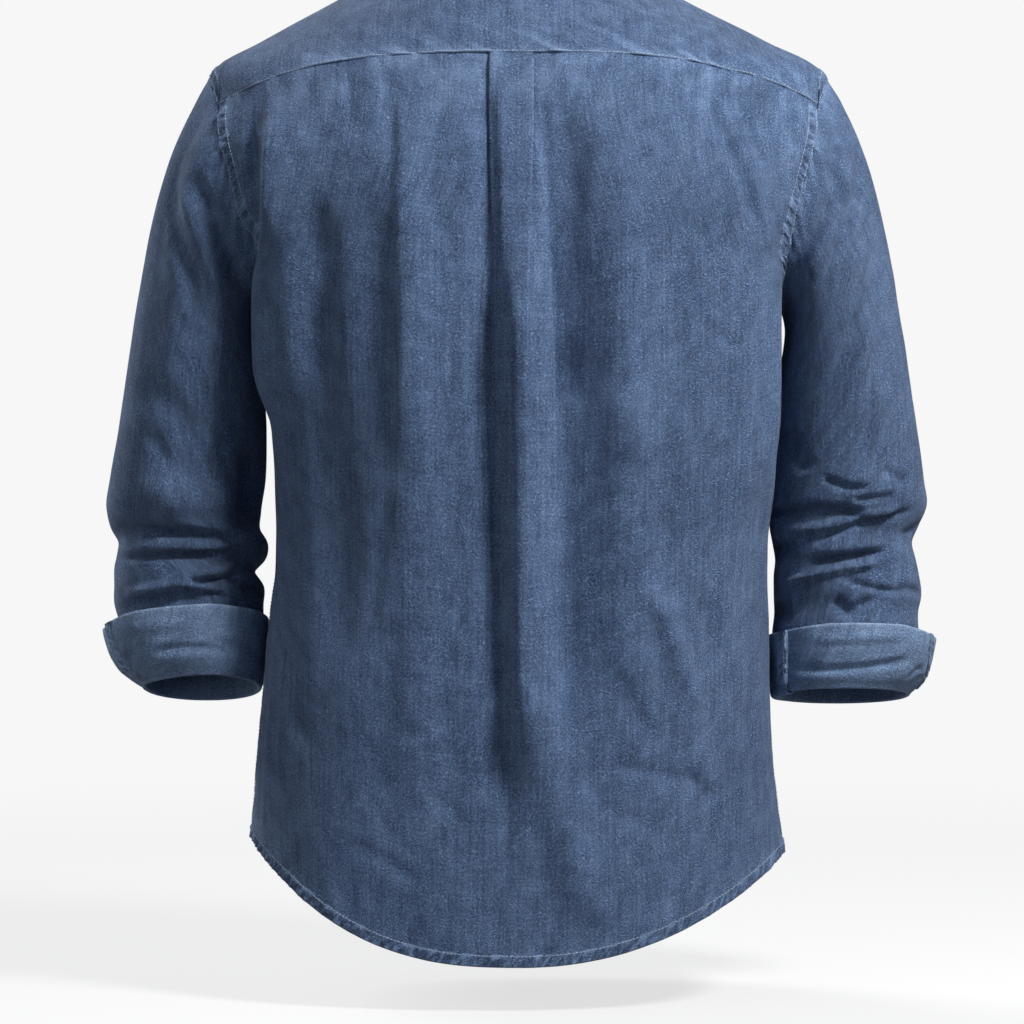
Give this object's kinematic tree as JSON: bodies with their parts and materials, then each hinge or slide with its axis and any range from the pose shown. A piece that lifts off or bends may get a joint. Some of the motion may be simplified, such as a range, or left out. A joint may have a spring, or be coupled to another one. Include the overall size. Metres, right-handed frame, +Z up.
{
  "type": "casual button shirt with turned-up sleeves",
  "caption": "Hollow filled-out long-sleeved button shirt of blue chambray, with a shoulder yoke, a box-pleated back, turned-up cuffs, a fold-down collar and a curved shirt-tail hem.",
  "frame": {"origin": "middle of the neck opening, level with the points where the shoulders meet the neck, where the wearer's neck and shoulders hold the shirt", "axes": "+Z up along the back, +X towards the wearer's left sleeve, -Y the way the button front faces, +Y out of the back"},
  "size_m": [0.6513, 0.2611, 0.8019],
  "materials": {
    "chambray": "washed mid-blue chambray twill, mottled, with worn lighter edges",
    "chambray_inside": "the paler turned-up inside of the same cloth",
    "button": "pale four-hole shirt button"
  },
  "bodies": {
    "root": {"back_panel": "chambray", "yoke": "chambray", "front_left": "chambray", "front_right": "chambray", "front_placket": "chambray", "collar_stand": "chambray", "collar_leaf": "chambray", "sleeve_left": "chambray", "sleeve_right": "chambray", "cuff_left": "chambray_inside", "cuff_right": "chambray_inside", "button_1": "button", "button_2": "button", "button_3": "button", "button_4": "button", "button_5": "button", "button_6": "button", "button_7": "button", "button_collar": "button"}
  },
  "joints": []
}
